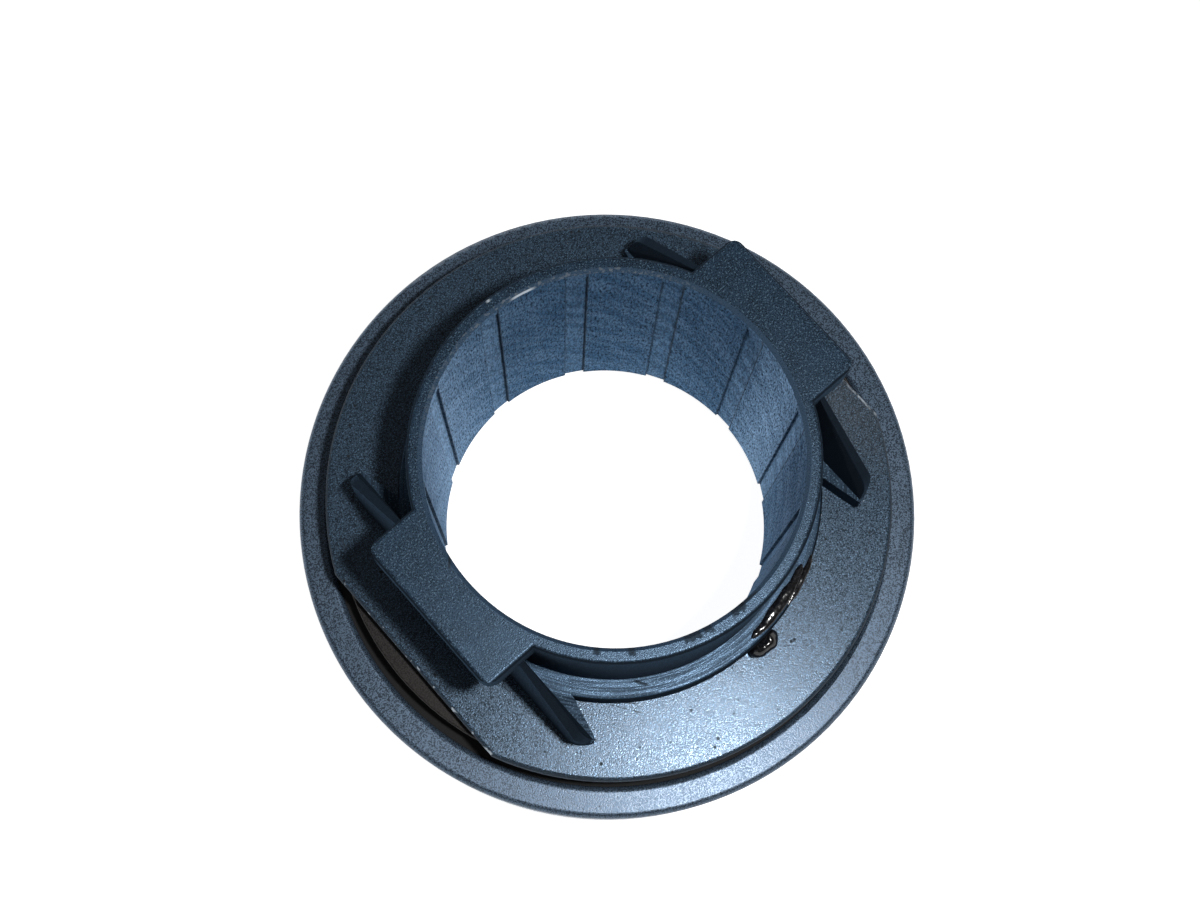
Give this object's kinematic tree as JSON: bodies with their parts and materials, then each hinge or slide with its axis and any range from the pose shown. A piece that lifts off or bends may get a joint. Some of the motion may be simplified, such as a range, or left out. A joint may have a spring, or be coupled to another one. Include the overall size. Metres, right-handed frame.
{
  "type": "clutch release bearing",
  "caption": "Self-centring clutch release bearing: plastic guide sleeve with fork lugs, steel fork plate and a turning contact ring on balls.",
  "frame": {"origin": "centre of the bore's axis at the contact face, which is the lowest plane", "axes": "+Z along the bore axis towards the fork side; X through the two fork lugs; Y along the fork fingers"},
  "size_m": [0.0624, 0.0624, 0.036],
  "materials": {
    "sleeve_plastic": "moulded glass-filled black, fine speckle",
    "plate_steel": "blue-grey phosphated sheet",
    "flange_steel": "bare turned steel, brown-grey",
    "rim_steel": "grey, fine grain",
    "ball_steel": "polished",
    "spring_steel": "dark rolled strip",
    "seal_rubber": "matt black",
    "cage_plastic": "natural brown moulding"
  },
  "bodies": {
    "sleeve": {"guide_sleeve": "sleeve_plastic", "fork_plate": "plate_steel", "retaining_ring": "spring_steel"},
    "spring_float": {"centring_spring": "spring_steel"},
    "inner_race": {"inner_ring": "flange_steel"},
    "outer_race": {"outer_ring": "rim_steel", "rear_seal": "seal_rubber", "front_seal": "seal_rubber"},
    "ball_set": {"ball_cage": "cage_plastic", "ball_01": "ball_steel", "ball_02": "ball_steel", "ball_03": "ball_steel", "ball_04": "ball_steel", "ball_05": "ball_steel", "ball_06": "ball_steel", "ball_07": "ball_steel", "ball_08": "ball_steel", "ball_09": "ball_steel", "ball_10": "ball_steel", "ball_11": "ball_steel", "ball_12": "ball_steel", "ball_13": "ball_steel", "ball_14": "ball_steel", "ball_15": "ball_steel", "ball_16": "ball_steel", "ball_17": "ball_steel", "ball_18": "ball_steel"}
  },
  "joints": [
    {"name": "float_x", "type": "slide", "parent": "sleeve", "child": "spring_float", "axis": [1, 0, 0], "range_m": [-0.00075, 0.00075]},
    {"name": "float_y", "type": "slide", "parent": "spring_float", "child": "inner_race", "axis": [0, 1, 0], "range_m": [-0.00075, 0.00075]},
    {"name": "outer_spin", "type": "hinge", "parent": "inner_race", "child": "outer_race", "pos_m": [0, 0, 0.0086], "axis": [0, 0, 1], "continuous": true},
    {"name": "cage_spin", "type": "hinge", "parent": "inner_race", "child": "ball_set", "pos_m": [0, 0, 0.0086], "axis": [0, 0, 1], "continuous": true}
  ],
  "couplings": [
    {"joint": "cage_spin", "follows": "outer_spin", "ratio": 0.5453}
  ]
}
